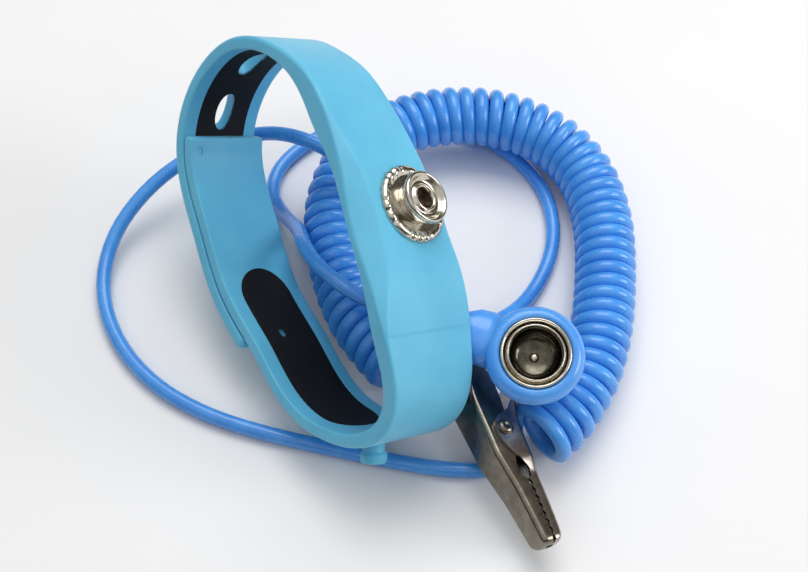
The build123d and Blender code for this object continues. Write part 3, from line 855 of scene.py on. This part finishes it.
# ---------------------------------------------------------------- the cord
def nurbs_points(points, resolution=12):
    """Points in order along the smooth NURBS line of a route."""
    data = bpy.data.curves.new("route", "CURVE")
    data.dimensions = "3D"
    data.resolution_u = resolution
    fill_spline(data, points)
    holder = bpy.data.objects.new("route", data)
    mesh = bpy.data.meshes.new_from_object(holder)
    line = np.array([v.co[:] for v in mesh.vertices])
    bpy.data.objects.remove(holder)
    bpy.data.meshes.remove(mesh)
    return line


def fill_spline(data, points):
    spline = data.splines.new("NURBS")
    spline.points.add(len(points) - 1)
    for slot, point in zip(spline.points, points):
        slot.co = (*[float(c) for c in point], 1.0)
    spline.order_u = 3
    spline.use_endpoint_u = True


END_SWELL = 0.7               # the last turns by the clip are looser
POINTS_PER_TURN = 12
NURBS_INSIDE = 0.97           # a NURBS helix has about this share of its points' radius
COIL_STARTS_AT = 4            # points of the helix left out where the tail joins it
COIL_ENDS_AT = -9             # and where the lead does


def helix_points(centre_line, radius, turns, per_turn):
    """Turns of a curly cord about a line, with a frame carried along it."""
    run = np.concatenate([[0], np.cumsum(np.linalg.norm(np.diff(centre_line, axis=0), axis=1))])
    count = turns * per_turn
    side = None
    points = []
    for i in range(count + 1):
        spot = run[-1] * i / count
        centre = np.array([np.interp(spot, run, centre_line[:, k]) for k in range(3)])
        ahead = np.array([np.interp(spot + 0.4, run, centre_line[:, k]) for k in range(3)])
        behind = np.array([np.interp(spot - 0.4, run, centre_line[:, k]) for k in range(3)])
        tangent = (ahead - behind) / np.linalg.norm(ahead - behind)
        side = np.array((0.0, 0.0, 1.0)) if side is None else side
        side = side - tangent * (side @ tangent)
        side /= np.linalg.norm(side)
        other = np.cross(tangent, side)
        angle = 2 * np.pi * i / per_turn
        swell = END_SWELL * ease(i / per_turn, turns - 5, turns - 1)
        centre = centre + np.array((0.0, 0.0, swell))
        points.append(centre + (radius + swell) * (math.cos(angle) * side + math.sin(angle) * other))
    return points


def make_cord():
    """The whole cord as one tube, and the length of its line in millimetres."""
    centre = nurbs_points(COIL_ROUTE)
    radius = (COIL_D - WIRE_D) / 2 / NURBS_INSIDE
    turns = helix_points(centre, radius, COIL_TURNS, POINTS_PER_TURN)
    route = TAIL_ROUTE + turns[COIL_STARTS_AT:COIL_ENDS_AT] + OUT_OF_COIL + LEAD_ROUTE
    data = bpy.data.curves.new("cord", "CURVE")
    data.dimensions = "3D"
    data.resolution_u = 4
    fill_spline(data, [np.array(p) * MM for p in route])
    data.bevel_depth = WIRE_D / 2 * MM
    data.bevel_resolution = 4
    data.use_fill_caps = True
    data.materials.append(MATERIALS["cord"])
    piece = bpy.data.objects.new("cord", data)
    bpy.context.scene.collection.objects.link(piece)
    line = nurbs_points(route, 6)
    length = np.linalg.norm(np.diff(line, axis=0), axis=1).sum()
    return piece, float(length)


# ---------------------------------------------------------------- build
band = make_band()
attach(band, "root")
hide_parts("band_body", "holed_strap")

lining = make_lining()
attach(lining, "root")
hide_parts("strap_lining")

pad = make_pad()
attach(pad, "root")
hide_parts("wrist_pad")

strap_end = make_strap_end()
tuple(band_point(FLEX_AT, BAND_WIDTH / 2, 1.0) * MM)
tuple(band_point(FLEX_AT + 6, BAND_WIDTH / 2, 1.0) * MM)
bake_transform(strap_end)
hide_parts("strap_end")

peg_spot = FIRST_HOLE - PEG_HOLE * HOLE_PITCH
fastened_peg = make_peg("fastened_peg_soft", peg_spot, STRAP_T, LAP + 0.25, 1.5, 1.95)
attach(fastened_peg, "strap_end_body")
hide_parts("fastened_peg")
free_peg = make_peg("free_peg_soft", FREE_PEG_AT, STRAP_T + 0.1, 1.7, 1.6, 1.95)
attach(free_peg, "root")
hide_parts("free_peg")

stud_flange, stud_post, stud_eye = make_stud()
shell, boot = make_housing()
rim, sleeve, well, nub = make_socket()
fixed_jaw, moving_jaw = make_jaws()
METAL, PLASTIC = "plated_steel", "blue_pvc"
PIECES = [
    (stud_flange, "root", METAL, ["stud_flange"]), (stud_post, "root", METAL, ["stud_post"]),
    (stud_eye, "root", METAL, ["stud_rivet"]),
    (shell, "root", PLASTIC, ["housing_upper"]), (boot, "root", PLASTIC, ["housing_lower"]),
    (sleeve, "root", METAL, ["socket_spring_ring"]), (rim, "root", METAL, ["socket_cup"]),
    (well, "root", METAL, ["socket_cup"]),
    (nub, "root", METAL, ["socket_nub"]), (fixed_jaw, "root", METAL, ["clip_fixed_jaw"]),
    (moving_jaw, "clip_jaw_body", METAL, ["clip_moving_jaw"]),
    (make_pin(), "root", METAL, ["clip_pivot_pin"]), (make_crimp(), "root", METAL, ["clip_crimp"]),
]
for piece, body, finish, nodes in PIECES:
    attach(piece, body)
    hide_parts(*nodes)

NODE_MATERIALS = {
    "wrist_plate": "nickel", "solder_tag": "nickel",
    "safety_resistor": "ceramic", "clip_spring": "steel",
}
for node, material in NODE_MATERIALS.items():
    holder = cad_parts[node]
    holder.data.materials.clear()
    holder.data.materials.append(MATERIALS[material])

cord, cord_length = make_cord()
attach(cord, "root")
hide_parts("cord_snap_tail", "cord_coil", "cord_lead")
print("cord length, mm:", round(cord_length, 1))


# ---------------------------------------------------------------- floor and light
FLOOR_HALF = 9000


def add_floor():
    """White paper under the object."""
    far = FLOOR_HALF
    piece = add_mesh("floor", [(-far, -far, 0), (far, -far, 0), (far, far, 0), (-far, far, 0)],
                     [(0, 1, 2, 3)], "band")
    material, tree, shader = new_material("floor_paper")
    shade = ramp(tree, noise(tree, 30.0), [(0.3, (0.86, 0.86, 0.865)), (0.7, (0.88, 0.88, 0.885))])
    tree.links.new(shade, shader.inputs["Base Color"])
    shader.inputs["Roughness"].default_value = 0.7
    shader.inputs["Specular IOR Level"].default_value = 0.2
    piece.data.materials[0] = material


def add_area(name, place, target, size, power):
    """Square area light, in metres and watts, aimed at a target."""
    data = bpy.data.lights.new(name, "AREA")
    data.size = size
    data.energy = power
    light = bpy.data.objects.new(name, data)
    light.location = place
    aim = Vector(target) - Vector(place)
    light.rotation_euler = aim.to_track_quat("-Z", "Y").to_euler()
    bpy.context.scene.collection.objects.link(light)


def add_world(strength):
    """Bright overhead, dim and slightly warm towards the horizon, with soft patches."""
    world = bpy.data.worlds.new("studio")
    world.use_nodes = True
    tree = world.node_tree
    background = tree.nodes["Background"]
    coords = tree.nodes.new("ShaderNodeTexCoord")
    split = tree.nodes.new("ShaderNodeSeparateXYZ")
    patches = tree.nodes.new("ShaderNodeTexNoise")
    patches.inputs["Scale"].default_value = 2.2
    patches.inputs["Detail"].default_value = 1.0
    tree.links.new(coords.outputs["Generated"], split.inputs["Vector"])
    tree.links.new(coords.outputs["Generated"], patches.inputs["Vector"])
    mix = tree.nodes.new("ShaderNodeMath")
    mix.operation = "MULTIPLY_ADD"
    mix.inputs[1].default_value = 0.9
    tree.links.new(patches.outputs["Fac"], mix.inputs[0])
    tree.links.new(split.outputs["Z"], mix.inputs[2])
    scale = tree.nodes.new("ShaderNodeMath")
    scale.operation = "MULTIPLY"
    scale.inputs[1].default_value = 0.6
    tree.links.new(mix.outputs["Value"], scale.inputs[0])
    stops = [(0.30, (0.05, 0.045, 0.038)), (0.54, (0.20, 0.18, 0.155)), (0.70, (0.85, 0.85, 0.85)),
             (0.90, (1.0, 1.0, 1.0))]
    tree.links.new(ramp(tree, scale.outputs["Value"], stops), background.inputs["Color"])
    background.inputs["Strength"].default_value = strength
    pale = tree.nodes.new("ShaderNodeBackground")
    pale.inputs["Color"].default_value = (0.80, 0.80, 0.80, 1.0)
    rays = tree.nodes.new("ShaderNodeLightPath")
    choose = tree.nodes.new("ShaderNodeMixShader")
    tree.links.new(rays.outputs["Is Camera Ray"], choose.inputs[0])
    tree.links.new(background.outputs[0], choose.inputs[1])
    tree.links.new(pale.outputs[0], choose.inputs[2])
    tree.links.new(choose.outputs[0], tree.nodes["World Output"].inputs["Surface"])
    bpy.context.scene.world = world


add_floor()
add_world(0.82)
add_area("key", (0.06, 0.26, 0.56), (0.01, 0.0, 0.0), 0.44, 1.9)
add_area("side", (0.60, -0.10, 0.26), (0.0, 0.0, 0.0), 0.30, 1.6)

bpy.context.scene.view_settings.view_transform = "Standard"
